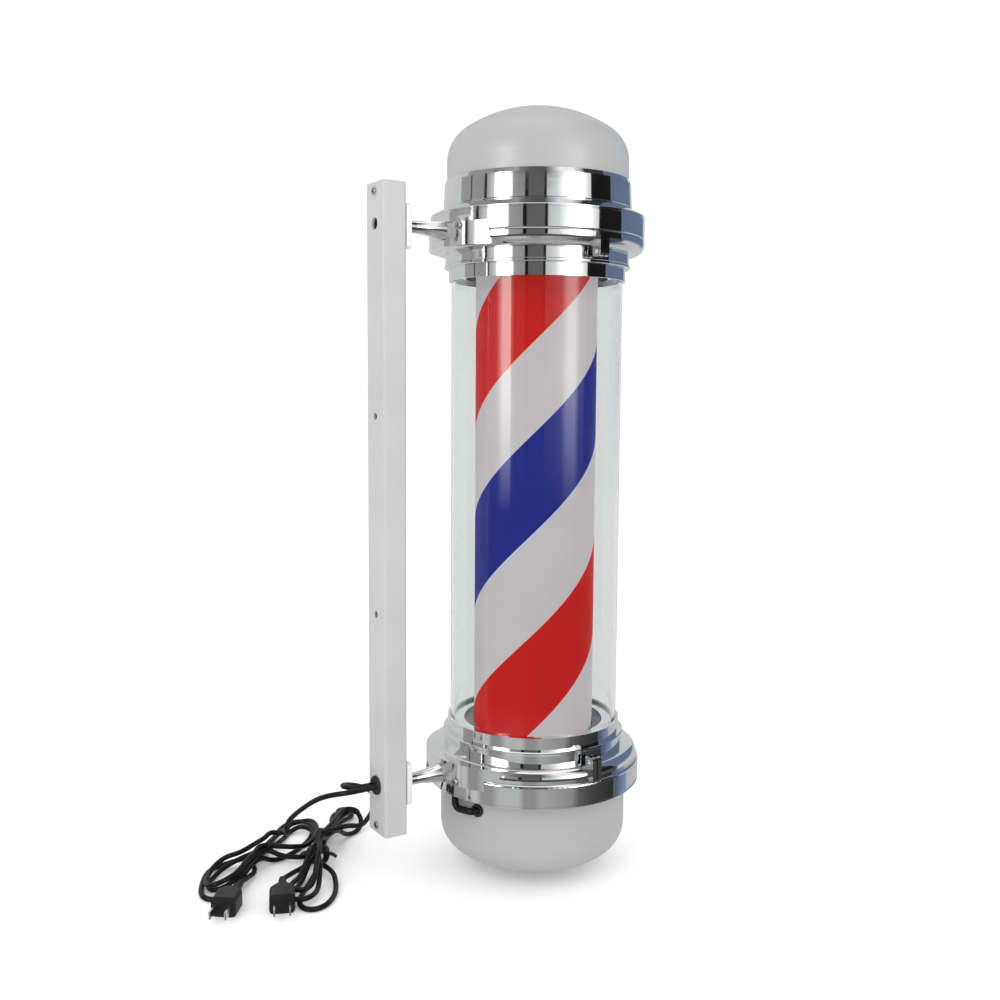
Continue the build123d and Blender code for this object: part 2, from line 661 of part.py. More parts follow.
def lamp_holder():
    """Lamp holder: its neck sits in the stem and its skirt takes the lamp's cap."""
    neck = ring(STEM_BORE_R - FIT, LEAD_BORE_R, STEM_END, SHELF_Z + 6)
    skirt = ring(LAMP_R + 1, 0, STEM_END - 34, STEM_END - FIT)
    skirt = fillet(skirt.edges().group_by(Axis.Z)[0], 1.5)
    skirt -= ring(CAP_R + FIT, 0, STEM_END - 40, STEM_END - 5)
    return neck + ring(STEM_BORE_R - FIT, LEAD_BORE_R, STEM_END - 3, STEM_END) + skirt - ring(
        LEAD_BORE_R, 0, STEM_END - 6, STEM_END + 30)


def lamp_cap():
    """Screw cap of the lamp with its rolled thread."""
    low, high = STEM_END - 36, STEM_END - 8
    cap = ring(CAP_R - 1, 0, low, high)
    for step in range(5):
        centre = low + 6 + 4.5 * step
        cap += turned((CAP_R - 1.2, centre - 1.4), (CAP_R, centre), (CAP_R - 1.2, centre + 1.4))
    return cap + ring(4.5, 0, high, high + 2)


def lamp_tube():
    """Closed tube of the lamp."""
    high = STEM_END - 36
    outer = Pos(0, 0, (high + LAMP_LOW) / 2) * Cylinder(LAMP_R, high - LAMP_LOW)
    outer = fillet(outer.edges().group_by(Axis.Z)[0], LAMP_R - 2)
    inner = Pos(0, 0, (high + LAMP_LOW) / 2) * Cylinder(LAMP_R - 1.5, high - LAMP_LOW - 3)
    inner = fillet(inner.edges().group_by(Axis.Z)[0], LAMP_R - 4)
    return outer - inner


def lamp_board():
    """Light strip inside the lamp's tube, with its rows of light chips."""
    high = STEM_END - 42
    board = block((-12, 12), (-1, 1), (LAMP_LOW + 20, high))
    pitch = (high - LAMP_LOW - 40) / 11
    for step in range(12):
        z = LAMP_LOW + 30 + pitch * step
        for x in (-6, 6):
            board += block((x - 2, x + 2), (-2, 2), (z - 2, z + 2))
    return board


# ---------------------------------------------------------------- inner leads
def lamp_lead():
    """Lead from the bar, through the upper arm, over the upper plate and into the stem."""
    z = POLE_RISE + ARM_Z
    y = -BAR_D / 2
    return bent_tube([(0, y, EXIT_Z + 10), (0, y, z), (0, -POLE_OUT, z), (0, -POLE_OUT, z - 20)])


def motor_lead():
    """Lead through the lower arm, out under the flange and into the lower dome."""
    def at(radius, angle, z):
        x, y, height = polar(radius, angle, -z)
        return (x, y - POLE_OUT, height + POLE_RISE)
    drop = at(LEAD_DROP_R, LEAD_DROP_ANGLE, ARM_Z)
    return bent_tube([(0, -BAR_D / 2, POLE_RISE - ARM_Z), (0, drop[1], drop[2]), drop,
                      at(LEAD_DROP_R, LEAD_DROP_ANGLE, LEAD_IN_Z + LEAD_DIP),
                      at(LEAD_DROP_R + 1.5, LEAD_IN_ANGLE, LEAD_IN_Z), at(62, LEAD_IN_ANGLE, LEAD_IN_Z)])


# ---------------------------------------------------------------- cords
# Routes as (x, y, z), chosen by hand: out of the grommet, down, and along the floor.
LAMP_CORD = [
    (-3, 2.5, EXIT_Z), (-2.5, 16, EXIT_Z - 0.8), (4, 28, EXIT_Z - 3), (17, 35.5, EXIT_Z - 7.5),
    (33, 39.5, EXIT_Z - 15), (49, 43, EXIT_Z - 25.5), (68, 46, EXIT_Z - 39), (86, 48, EXIT_Z - 53),
    (101, 50, EXIT_Z - 69), (112, 55, FLOOR_Z + 18), (117, 61, FLOOR_Z + 9),
]
MOTOR_CORD = [
    (3, 2.5, EXIT_Z), (3.2, 15, EXIT_Z - 0.6), (12.5, 25.5, EXIT_Z - 2), (26.5, 26, EXIT_Z - 4.5),
    (36, 15.5, EXIT_Z - 8), (38.5, 1, EXIT_Z - 12.5), (43, -13, EXIT_Z - 19.5),
    (53, -24, EXIT_Z - 31), (69, -31, EXIT_Z - 49), (88, -32, EXIT_Z - 68), (102, -27, FLOOR_Z + 17),
    (106, -20, FLOOR_Z + 9),
]
LAMP_TAIL = [(103, 62, CORD_Z + 3), (92, 73, CORD_Z + 2), (81, 85, CORD_Z + 3.4), (70, 94.5, CORD_Z + 6.25)]
MOTOR_TAIL = [(88, 19, CORD_Z + 3), (80, 35, CORD_Z + 1.5), (70, 49, CORD_Z + 3), (56.6, 62.6, CORD_Z + 6.25)]
LAMP_HANK = [
    (124, 66), (150, 48), (172, 25), (187, 2), (182, -13), (161, -16), (140, -9), (120, 2), (107, 16),
    (100, 31), (101, 44), (106, 55), (103, 69), (92, 84), (81, 98), (75, 113), (78, 127), (93, 129), (111, 122),
    (124, 110), (126, 95), (120, 80),
]
MOTOR_HANK = [
    (184, -53), (170, -66), (146, -55), (120, -35), (98, -14), (76, 2), (54, 8), (30, 18), (13, 30), (0, 44),
    (3, 56), (18, 58), (34, 48), (49, 38), (64, 27), (80, 13), (98, 7), (118, -8), (143, -26), (169, -42),
]
PLUG_LENGTH, PLUG_WIDTH, PLUG_HEIGHT = 26.0, 21.0, 17.0
LAMP_PLUG_AT, LAMP_PLUG_TO = (54, 107), (-0.8, 0.6)
MOTOR_PLUG_AT, MOTOR_PLUG_TO = (38, 70), (-0.93, 0.37)


def hank(outline):
    """Outer shape of a folded and tied cord, lying on the floor."""
    face = make_face(Spline(*outline, periodic=True))
    body = extrude(Plane.XY.offset(FLOOR_Z) * face, HANK_H)
    return chamfer(body.edges().group_by(Axis.Z)[-1], 2.5)


def plug_plane(at, towards):
    """Plane at the cord end of a plug, looking along its pins."""
    origin = (at[0], at[1], FLOOR_Z + PLUG_HEIGHT / 2)
    return Plane(origin=origin, x_dir=(0, 0, 1), z_dir=(towards[0], towards[1], 0))


def plug(at, towards):
    """Moulded plug with its tapered strain relief; it lies on its flat side."""
    plane = plug_plane(at, towards)
    sections = [(PLUG_HEIGHT * 0.75, PLUG_WIDTH * 0.7, 0), (PLUG_HEIGHT, PLUG_WIDTH, PLUG_LENGTH * 0.35),
                (PLUG_HEIGHT, PLUG_WIDTH, PLUG_LENGTH)]
    faces = [plane.offset(offset) * RectangleRounded(height, width, 4) for height, width, offset in sections]
    body = loft(faces, ruled=True)
    relief = loft([plane.offset(-20) * Circle(CORD_R + 0.8), plane * Circle(CORD_R + 2.6)])
    return body + relief


def plug_pins(at, towards):
    """Two flat pins."""
    plane = plug_plane(at, towards).offset(PLUG_LENGTH)
    pins = []
    for side in (-1, 1):
        pin = extrude(plane * Pos(0, side * 6.35) * Rectangle(6.3, 1.5), 16)
        far_end = pin.faces().sort_by_distance(plane.origin)[-1]
        pins.append(chamfer(far_end.edges(), 0.4))
    return group(pins)


# ---------------------------------------------------------------- build
def build_bar():
    save("wall_bar", wall_bar())
    save("bar_top_cap", bar_cap())
    save("bar_bottom_cap", lower(bar_cap()))
    save("bar_end_screws", bar_end_screws())
    save("cord_grommet", cord_grommet())


def build_arms():
    save_on_pole("upper_mount_plate", mount_plate())
    save_on_pole("lower_mount_plate", lower(mount_plate()))
    save_on_pole("plate_screws", group(plate_screws() + [lower(item) for item in plate_screws()]))
    save_on_pole("upper_arm", arm(UPPER_FLANGE_R))
    save_on_pole("lower_arm", lower(arm(LOWER_FLANGE_R)))
    save_on_pole("upper_clamp", clamp_half(front=True))
    save_on_pole("lower_clamp", lower(clamp_half(front=True)))
    save_on_pole("clamp_screws", group(clamp_screws() + [lower(item) for item in clamp_screws()]))
    lower_pad_screws = [lower(item) for item in pad_screws(LOWER_FLANGE_R)]
    save_on_pole("pad_screws", group(pad_screws(UPPER_FLANGE_R) + lower_pad_screws))


def build_casing():
    save_on_pole("upper_collar", upper_collar())
    save_on_pole("lower_collar", lower(lower_collar()))
    save_on_pole("clear_tube", clear_tube())
    save_on_pole("upper_tube_seal", tube_seal())
    save_on_pole("lower_tube_seal", lower(tube_seal()))
    save_on_pole("upper_band", upper_band())
    save_on_pole("upper_dome", dome(UPPER_DOME_R, BAND_START + 11, UPPER_DOME_SPRING, UPPER_DOME_RISE))
    save_on_pole("lower_dome", lower(lower_dome()))
    save_on_pole("dome_screws", lower(dome_screws()))
    save_on_pole("lead_grommet", lower(lead_grommet()))


def build_drum():
    save_on_pole("drum_cylinder", drum_cylinder())
    save_on_pole("drum_film", drum_film())
    save_on_pole("drum_top_disc", vented(end_disc(BUSH_R)))
    save_on_pole("drum_bottom_disc", lower(vented(end_disc(BUSH_R))))
    save_on_pole("drum_top_bush", top_bush())
    save_on_pole("drum_hub", lower(drum_hub()))
    save_on_pole("hub_set_screw", lower(hub_set_screw()))
    save_on_pole("motor_shaft", lower(motor_shaft()))
    save_on_pole("output_gear", lower(output_gear()))


def build_motor():
    save_on_pole("motor_plate", lower(motor_plate()))
    lower_plate_screws = [lower(item) for item in end_plate_screws()]
    save_on_pole("end_plate_screws", group(end_plate_screws() + lower_plate_screws))
    save_on_pole("motor_gearbox", lower(motor_gearbox()))
    save_on_pole("motor_body", lower(motor_body()))
    save_on_pole("motor_screws", lower(motor_screws()))
    save_on_pole("terminal_block", lower(terminal_block()))


def build_lamp():
    save_on_pole("lamp_plate", end_plate(STEM_R + FIT))
    save_on_pole("lamp_stem", lamp_stem())
    save_on_pole("lamp_holder", lamp_holder())
    save_on_pole("lamp_cap", lamp_cap())
    save_on_pole("lamp_tube", lamp_tube())
    save_on_pole("lamp_board", lamp_board())


def build_cords():
    save("lamp_lead", lamp_lead())
    save("motor_lead", motor_lead())
    save("lamp_cord", group([smooth_tube(LAMP_CORD, CORD_R), smooth_tube(LAMP_TAIL, CORD_R)]))
    save("motor_cord", group([smooth_tube(MOTOR_CORD, CORD_R), smooth_tube(MOTOR_TAIL, CORD_R)]))
    save("lamp_cord_hank", hank(LAMP_HANK))
    save("motor_cord_hank", hank(MOTOR_HANK))
    save("lamp_plug", plug(LAMP_PLUG_AT, LAMP_PLUG_TO))
    save("lamp_plug_pins", plug_pins(LAMP_PLUG_AT, LAMP_PLUG_TO))
    save("motor_plug", plug(MOTOR_PLUG_AT, MOTOR_PLUG_TO))
    save("motor_plug_pins", plug_pins(MOTOR_PLUG_AT, MOTOR_PLUG_TO))


build_bar()
build_arms()
build_casing()
build_drum()
build_motor()
build_lamp()
build_cords()
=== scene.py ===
"""Looks of the barber pole light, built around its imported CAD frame. Metres, in the row frame."""
import json
from math import atan2, cos, pi, radians, sin, sqrt

import bmesh
import bpy
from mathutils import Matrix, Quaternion, Vector


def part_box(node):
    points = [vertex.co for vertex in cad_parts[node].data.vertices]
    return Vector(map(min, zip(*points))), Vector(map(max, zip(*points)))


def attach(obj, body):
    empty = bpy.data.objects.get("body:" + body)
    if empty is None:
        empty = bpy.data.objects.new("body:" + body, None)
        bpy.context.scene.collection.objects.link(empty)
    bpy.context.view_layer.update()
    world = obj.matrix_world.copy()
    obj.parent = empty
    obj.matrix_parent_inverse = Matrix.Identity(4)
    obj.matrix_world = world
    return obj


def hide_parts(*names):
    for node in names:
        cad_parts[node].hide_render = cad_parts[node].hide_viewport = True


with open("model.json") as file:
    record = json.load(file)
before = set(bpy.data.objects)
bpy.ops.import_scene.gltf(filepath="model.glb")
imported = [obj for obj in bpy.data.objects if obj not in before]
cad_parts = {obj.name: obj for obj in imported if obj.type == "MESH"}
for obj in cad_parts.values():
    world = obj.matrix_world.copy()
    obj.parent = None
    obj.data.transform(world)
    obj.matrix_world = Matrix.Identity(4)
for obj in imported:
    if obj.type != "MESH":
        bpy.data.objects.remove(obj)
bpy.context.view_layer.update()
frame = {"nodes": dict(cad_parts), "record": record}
NODES = frame["nodes"]
MM = 0.001


def centre(node):
    low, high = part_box(node)
    return (low + high) / 2


POLE = centre("clear_tube")
DRUM_R = (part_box("drum_film")[1].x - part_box("drum_film")[0].x) / 2
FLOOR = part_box("lamp_cord_hank")[0].z


# ---------------------------------------------------------------- camera
# Place in metres, direction of view, roll in radians, lens in millimetres and shift in shares of the frame.
CAMERA_AT = (-0.8271, 0.4064, 0.1133)
CAMERA_LOOKS = (0.84201, -0.53126, -0.09366)
CAMERA_ROLL = 0.0061
CAMERA_LENS = 40.43
CAMERA_SHIFT = (0.0053, -0.0159)


def make_camera():
    data = bpy.data.cameras.new("camera")
    data.lens = CAMERA_LENS
    data.sensor_width = 36.0
    data.shift_x, data.shift_y = CAMERA_SHIFT
    data.clip_start = 0.01
    camera = bpy.data.objects.new("camera", data)
    bpy.context.scene.collection.objects.link(camera)
    camera.location = CAMERA_AT
    camera.rotation_mode = "QUATERNION"
    looks = Vector(CAMERA_LOOKS).to_track_quat("-Z", "Y")
    camera.rotation_quaternion = looks @ Quaternion((0, 0, 1), CAMERA_ROLL)
    bpy.context.scene.camera = camera


make_camera()


# ---------------------------------------------------------------- cords
# Routes as (x, y, z) in millimetres. A lead starts in the grommet, at the height EXIT, as
# the CAD route does, and a tail ends in the plug as that route does. Between them lies the hank.
CORD = 4.5 * MM
CORD_MM = CORD / MM
EXIT = -227.7
FLOOR_MM = FLOOR / MM
LAMP_LEAD = [
    (-3, 2.5, EXIT), (-2.5, 16, EXIT - 0.8), (4, 28, EXIT - 3), (17, 35.5, EXIT - 7.5),
    (33, 39.5, EXIT - 15), (49, 43, EXIT - 25.5), (68, 46, EXIT - 39), (86, 46.5, EXIT - 53),
    (99, 40.5, EXIT - 69), (112.6, 37.5, FLOOR_MM + 25), (118.1, 42, FLOOR_MM + 23.5),
    (119.6, 48.9, FLOOR_MM + 23.5),
]
LAMP_TAIL = [(92, 73, FLOOR_MM + 4.25), (81, 85, FLOOR_MM + 5.65), (70, 94.5, FLOOR_MM + 8.5)]
MOTOR_LEAD = [
    (3, 2.5, EXIT), (3.2, 15, EXIT - 0.6), (12.5, 21, EXIT - 2), (25, 21, EXIT - 4.5),
    (34.5, 12.5, EXIT - 8), (38, 0, EXIT - 12.5), (43, -13, EXIT - 19.5), (53, -24, EXIT - 31),
    (69, -31, EXIT - 49), (88, -33, EXIT - 68), (101, -32, FLOOR_MM + 20), (107, -22, FLOOR_MM + 17),
    (104, -6, FLOOR_MM + 17), (99, 8, FLOOR_MM + 19),
]
MOTOR_TAIL = [(79, 34, FLOOR_MM + 3.75), (70, 49, FLOOR_MM + 5.25), (56.6, 62.6, FLOOR_MM + 8.5)]
# The turns of each hank, from the grommet's end to the plug's, as (x, y) in millimetres on the floor.
LAMP_TURNS = [
    [(115, 79), (117, 93), (111, 106), (99, 115), (84, 121.2), (71.3, 118.9), (67.7, 108.9), (77, 95),
     (89, 83), (99, 73)],
    [(107.8, 45.4), (103, 34), (108, 18), (124, 3), (143, -7), (160, -9.1), (172.8, -4.1), (174.1, 7.2),
     (160.1, 20), (142, 35)],
    [(113, 80), (112, 95), (104, 108), (92, 117), (79, 118), (71, 110), (73, 99), (84, 87), (96, 76)],
    [(105.1, 44.9), (98, 34), (101, 20), (115, 7), (133, -1), (150, -3), (161.9, 2.8), (163, 13.2),
     (151.1, 24), (136, 36)],
    [(118, 76), (122, 92), (121, 105), (111, 113), (95, 121), (78.9, 127.2), (66.4, 125.9),
     (61.7, 116.9), (67, 105), (79, 93), (92, 81), (103, 70)],
    [(109, 45), (116, 28), (130, 10), (147, -4), (165, -12), (179, -10), (184.6, 0), (180.5, 12),
     (168, 24), (151, 36), (133.8, 46.9)],
]
MOTOR_TURNS = [
    [(73.7, 20.6), (61, 26), (45.8, 35.9), (29.5, 44.6), (26, 54.2), (31.7, 62), (42, 61.6),
     (51.1, 48.7), (63, 38), (74, 29)],
    [(100, 2), (113, -14), (126, -30), (131.7, -46.5), (140.2, -52.3), (149.2, -48.7), (151.1, -38.5),
     (140.7, -28.9), (124, -15), (109, 1)],
    [(72, 23), (55, 28), (37, 37), (20.6, 48.2), (15.3, 59.2), (20.7, 67.8), (31.5, 67.9), (45, 55),
     (60, 42), (72, 31)],
    [(106, 3), (124, -13), (143, -31), (155.6, -47.9), (162.2, -60.2), (173.4, -60), (178.3, -50.7),
     (171.5, -40.3), (149, -31), (129, -16), (108, 1)],
    [(71, 19.6), (51, 17), (32, 23), (15, 33), (3.7, 45.8), (2.4, 57.8), (11.9, 64.3), (26, 60),
     (40, 49), (54, 37), (68, 27)],
    [(107, 7), (126, -10), (146, -28), (160.7, -46.1), (168.9, -56.9), (179.7, -55), (183.3, -45.3),
     (175.4, -35.7), (153, -27), (131, -11), (110, 4)],
]
# The narrow middle of each hank, where all its strands cross: its place and the way the first strand goes.
LAMP_WAIST, LAMP_WAY = Vector((113.5, 61.0)), Vector((-0.45, 0.893))
MOTOR_WAIST, MOTOR_WAY = Vector((88.0, 16.0)), Vector((-0.79, 0.613))
# Place of each pass through the waist, across the bundle, in cord diameters. The first pass goes along the
# way, the next one comes back, and so on. Half the length of a pass, the room between strands and the height
# of a pass over the lying cord are in millimetres.
PASSES = (0.0, -0.5, 0.5, -1.0, 1.0, -1.5, 1.5)
PASS_HALF = 5.0
PASS_GAP = 0.1
PASS_RISE = 1.2
# How the strands come to lie on one another: the shares of a span at which places are compared, the spans
# between two places that can cross, the distance that their centre lines need, and the radius of the hump
# that a lifted point makes. Each round lifts by a share of what is missing, until hardly any is.
LIFT_STEPS = (0.0, 0.25, 0.5, 0.75)
SPANS_APART = 3
STRAND_PITCH = CORD * 1.02
HUMP_R = 1.5 * CORD
LIFT_ROUNDS = 60
LIFT_SHARE = 0.6
LIFT_DONE = 0.02 * MM


def spline_point(route, span, share):
    """A point of the order-3 spline, between three of its control points."""
    a, b, c = route[span:span + 3]
    return a * (0.5 * (1 - share) ** 2) + b * (0.5 + share * (1 - share)) + c * (0.5 * share ** 2)


def hank_route(lead, turns, tail, waist, way):
    """The cord's control points: its lead, then its turns with a pass through the waist between them."""
    route = [Vector(p) * MM for p in lead]
    across = Vector((way.y, -way.x))
    resting = FLOOR_MM + CORD_MM / 2
    first = len(route) - 3
    for turn, place in enumerate(PASSES):
        middle = waist + across * place * (CORD_MM + PASS_GAP)
        along = way if turn % 2 == 0 else -way
        for step in (-1, 1):
            x, y = middle + along * PASS_HALF * step
            route.append(Vector((x, y, resting + PASS_RISE)) * MM)
        if turn < len(turns):
            route += [Vector((x, y, resting)) * MM for x, y in turns[turn]]
    last = len(route)
    route += [Vector(p) * MM for p in tail]
    return route, first, last


def crossings(route, first, last):
    """Pairs of places where the cord passes over itself, as (upper span, share, lower span, share, gap)."""
    samples = [(span, share, spline_point(route, span, share))
               for span in range(first, last + 1) for share in LIFT_STEPS]
    found = []
    for index, (span, share, point) in enumerate(samples):
        for low_span, low_share, low_point in samples[index + 1:]:
            if low_span - span < SPANS_APART:
                continue
            apart = (point.xy - low_point.xy).length
            if apart < STRAND_PITCH:
                found.append((span, share, low_span, low_share, sqrt(STRAND_PITCH ** 2 - apart ** 2)))
    return found


def settled(route, first, last):
    """Raises the turns until the stretch nearer the grommet lies on the stretch nearer the plug."""
    pairs = crossings(route, first, last)
    for _ in range(LIFT_ROUNDS):
        lifts = [0.0] * len(route)
        for span, share, low_span, low_share, gap in pairs:
            upper = spline_point(route, span, share).z
            lower = spline_point(route, low_span, low_share).z
            for point in range(span, span + 3):
                lifts[point] = max(lifts[point], LIFT_SHARE * (lower + gap - upper))
        for point, lift in enumerate(lifts):
            route[point].z += lift
        for point in range(first, last):
            for other in (point - 2, point - 1, point + 1, point + 2):
                drop = (route[point].xy - route[other].xy).length_squared / (2 * HUMP_R)
                route[point].z = max(route[point].z, route[other].z - drop)
        if max(lifts) < LIFT_DONE:
            break
    return route


def cord_curve(name, route):
    """One open spline of order 3 with the route's points as its control points."""
    data = bpy.data.curves.new(name, "CURVE")
    data.dimensions = "3D"
    data.bevel_depth = CORD / 2
    data.bevel_resolution = 5
    data.use_fill_caps = True
    spline = data.splines.new("NURBS")
    spline.points.add(len(route) - 1)
    for point, place in zip(spline.points, route):
        point.co = (*place, 1.0)
    spline.order_u = 3
    spline.use_endpoint_u = True
    spline.resolution_u = 6
    return bpy.data.objects.new(name, data)


def line_of(curve):
    """The cord's centre line, as the curve itself gives it without its bevel."""
    curve.data.bevel_depth = 0
    mesh = bpy.data.meshes.new_from_object(curve)
    line = [v.co.copy() for v in mesh.vertices]
    bpy.data.meshes.remove(mesh)
    curve.data.bevel_depth = CORD / 2
    return line


def piece(name, mesh):
    """A mesh piece that rides on the frame."""
    made = bpy.data.objects.new(name, mesh)
    bpy.context.scene.collection.objects.link(made)
    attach(made, "frame")
    return made


def swept(name, path, profile, normals, closed):
    """Mesh that carries a profile, as (across, out) pairs, along a path; normals point out at each step."""
    shape = bmesh.new()
    rings = []
    count = len(path)
    for i, (place, out) in enumerate(zip(path, normals)):
        ahead = path[(i + 1) % count] if closed or i + 1 < count else place
        behind = path[i - 1] if closed or i > 0 else place
        side = (ahead - behind).normalized().cross(out).normalized()
        rings.append([shape.verts.new(place + side * a + out * b) for a, b in profile])
    pairs = list(zip(rings, rings[1:])) + ([(rings[-1], rings[0])] if closed else [])
    for one, two in pairs:
        for k in range(len(profile)):
            shape.faces.new((one[k - 1], one[k], two[k], two[k - 1]))
    if not closed:
        shape.faces.new(rings[0])
        shape.faces.new(reversed(rings[-1]))
    bmesh.ops.recalc_face_normals(shape, faces=shape.faces)
    mesh = bpy.data.meshes.new(name)
    shape.to_mesh(mesh)
    shape.free()
    for face in mesh.polygons:
        face.use_smooth = True
    return mesh


# The strap in millimetres, its edges' bevel as a share of half its thickness, and the shape of its loop: a
# power of 1 makes an ellipse, and a lower one makes the loop squarer.
STRAP_WIDTH, STRAP_THICK = 5.5, 1.3
OFF_FLOOR = 0.05
STRAP_BEVEL = 0.6
LOOP_POWER = 0.7
LOOP_STEPS = 48
# What the strap holds: strands below this height and this near to the middle, in cord diameters.
BUNDLE_HEIGHT, BUNDLE_HALF = 3.2, 2.5
# Each end of the strap: its (out, rise) points, how deep it starts in the loop, and at what share of the
# loop's height.
STRAP_END = ((0.0, 0.0), (3.0, 0.6), (6.0, -0.6), (8.0, -2.4))
END_INSIDE, END_HEIGHT = 0.8, 0.55


def strap_profile(width, thickness):
    """Strap section with bevelled edges."""
    half, edge = width / 2, thickness / 2
    return [(half, 0), (half - edge * STRAP_BEVEL, edge), (-half + edge * STRAP_BEVEL, edge), (-half, 0),
            (-half + edge * STRAP_BEVEL, -edge), (half - edge * STRAP_BEVEL, -edge)]


def strap_around(name, line, waist, way):
    """Strap round the hank's waist, with its two ends standing off one side and the other."""
    across = Vector((way.y, -way.x))
    near = [((p.xy / MM - waist).dot(across), p.z / MM - FLOOR_MM) for p in line
            if abs((p.xy / MM - waist).dot(way)) < PASS_HALF / 2 and p.z < FLOOR + BUNDLE_HEIGHT * CORD]
    reach = CORD_MM / 2 + STRAP_THICK / 2
    bundle = [(u, z) for u, z in near if abs(u) < BUNDLE_HALF * CORD / MM]
    low, high = min(u for u, _ in bundle) - reach, max(u for u, _ in bundle) + reach
    bottom, top = STRAP_THICK / 2 + OFF_FLOOR, max(z for _, z in bundle) + reach

    def at(u, z):
        place = waist + across * u
        return Vector((place.x, place.y, FLOOR_MM + z)) * MM

    def squarer(value):
        return abs(value) ** LOOP_POWER * (1 if value >= 0 else -1)

    path, normals = [], []
    for step in range(LOOP_STEPS):
        turn = 2 * pi * step / LOOP_STEPS
        path.append(at((low + high) / 2 + (high - low) / 2 * squarer(cos(turn)),
                       (bottom + top) / 2 + (top - bottom) / 2 * squarer(sin(turn))))
        normals.append(Vector((across.x * cos(turn), across.y * cos(turn), sin(turn))).normalized())
    profile = strap_profile(STRAP_WIDTH * MM, STRAP_THICK * MM)
    pieces = [piece(name, swept(name, path, profile, normals, closed=True))]
    for label, side, edge in (("near", -1, low), ("far", 1, high)):
        end = [at(edge + side * (out - END_INSIDE), top * END_HEIGHT + rise) for out, rise in STRAP_END]
        up = [Vector((0, 0, 1))] * len(end)
        mesh = swept(f"{name}_end_{label}", end, profile, up, closed=False)
        pieces.append(piece(mesh.name, mesh))
    return pieces


def make_cord(name, lead, turns, tail, waist, way, strapped, replaced):
    """A mains cord in one piece, in place of its CAD nodes, and the strap's pieces if it has one."""
    route, first, last = hank_route(lead, turns, tail, waist, way)
    curve = cord_curve(name, settled(route, first, last))
    line = line_of(curve)
    tube = bpy.data.meshes.new_from_object(curve)
    bpy.data.objects.remove(curve)
    for face in tube.polygons:
        face.use_smooth = True
    cord = piece(name, tube)
    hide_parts(*replaced)
    straps = strap_around(name + "_tie", line, waist, way) if strapped else []
    return cord, straps


lamp_cord, _ = make_cord(
    "lamp_mains_cord", LAMP_LEAD, LAMP_TURNS, LAMP_TAIL, LAMP_WAIST, LAMP_WAY, False,
    ("lamp_cord", "lamp_cord_hank"))
motor_cord, motor_straps = make_cord(
    "motor_mains_cord", MOTOR_LEAD, MOTOR_TURNS, MOTOR_TAIL, MOTOR_WAIST, MOTOR_WAY, True,
    ("motor_cord", "motor_cord_hank"))


# ---------------------------------------------------------------- material helpers
# Colour sockets of a Mix node; the lower numbers belong to its other data types.
MIX_A, MIX_B, MIX_COLOUR = 6, 7, 2


class Look:
    """A node material on one Principled shader."""

    def __init__(self, name, **settings):
        self.material = bpy.data.materials.new(name)
        self.material.use_nodes = True
        self.tree = self.material.node_tree
        self.shader = self.tree.nodes["Principled BSDF"]
        for socket, value in settings.items():
            self.shader.inputs[socket.replace("_", " ")].default_value = value
        self.place = self.node("ShaderNodeTexCoord").outputs["Object"]

    def node(self, kind, **values):
        made = self.tree.nodes.new(kind)
        for name, value in values.items():
            setattr(made, name, value)
        return made

    def join(self, source, target):
        self.tree.links.new(source, target)

    def math(self, operation, a, b=None):
        made = self.node("ShaderNodeMath", operation=operation)
        for socket, value in zip(made.inputs, (a, b)):
            if isinstance(value, (int, float)):
                socket.default_value = value
            elif value is not None:
                self.join(value, socket)
        return made.outputs[0]

    def noise(self, scale, detail=4.0, stretch=(1, 1, 1), roughness=0.55):
        mapping = self.node("ShaderNodeMapping")
        mapping.inputs["Scale"].default_value = stretch
        self.join(self.place, mapping.inputs["Vector"])
        made = self.node("ShaderNodeTexNoise")
        made.inputs["Scale"].default_value = scale
        made.inputs["Detail"].default_value = detail
        made.inputs["Roughness"].default_value = roughness
        self.join(mapping.outputs[0], made.inputs["Vector"])
        return made.outputs["Fac"]

    def spread(self, source, low, high, start=0.3, end=0.7):
        made = self.node("ShaderNodeMapRange")
        for name, value in zip(("From Min", "From Max", "To Min", "To Max"), (start, end, low, high)):
            made.inputs[name].default_value = value
        self.join(source, made.inputs["Value"])
        return made.outputs[0]

    def colours(self, source, dark, light):
        made = self.node("ShaderNodeMix", data_type="RGBA")
        made.inputs[MIX_A].default_value = (*dark, 1)
        made.inputs[MIX_B].default_value = (*light, 1)
        self.join(source, made.inputs[0])
        return made.outputs[MIX_COLOUR]

    def rough(self, source, low, high):
        self.join(self.spread(source, low, high), self.shader.inputs["Roughness"])

    def tint(self, source, dark, light):
        self.join(self.colours(self.spread(source, 0, 1), dark, light), self.shader.inputs["Base Color"])

    def bump(self, source, distance, strength=1.0):
        made = self.node("ShaderNodeBump")
        made.inputs["Distance"].default_value = distance
        made.inputs["Strength"].default_value = strength
        self.join(source, made.inputs["Height"])
        self.join(made.outputs[0], self.shader.inputs["Normal"])


def grey(value, warm=0.0):
    return (value * (1 + warm), value, value * (1 - warm))


# ---------------------------------------------------------------- materials
def bar_paint():
    """Satin grey powder coat with a fine orange peel."""
    look = Look("bar_paint", Metallic=0.0, Coat_Weight=0.15, Coat_Roughness=0.3)
    look.tint(look.noise(14, 3), grey(0.47), grey(0.52))
    look.rough(look.noise(60, 5), 0.38, 0.5)
    look.bump(look.noise(1400, 2), 0.00003, 0.5)
    return look.material


def white_enamel():
    """Glossy white enamel of the mount plates."""
    look = Look("white_enamel", Metallic=0.0, Coat_Weight=0.4, Coat_Roughness=0.08)
    look.tint(look.noise(20, 3), grey(0.72), grey(0.8))
    look.rough(look.noise(80, 4), 0.25, 0.36)
    look.bump(look.noise(900, 2), 0.00003, 0.4)
    return look.material


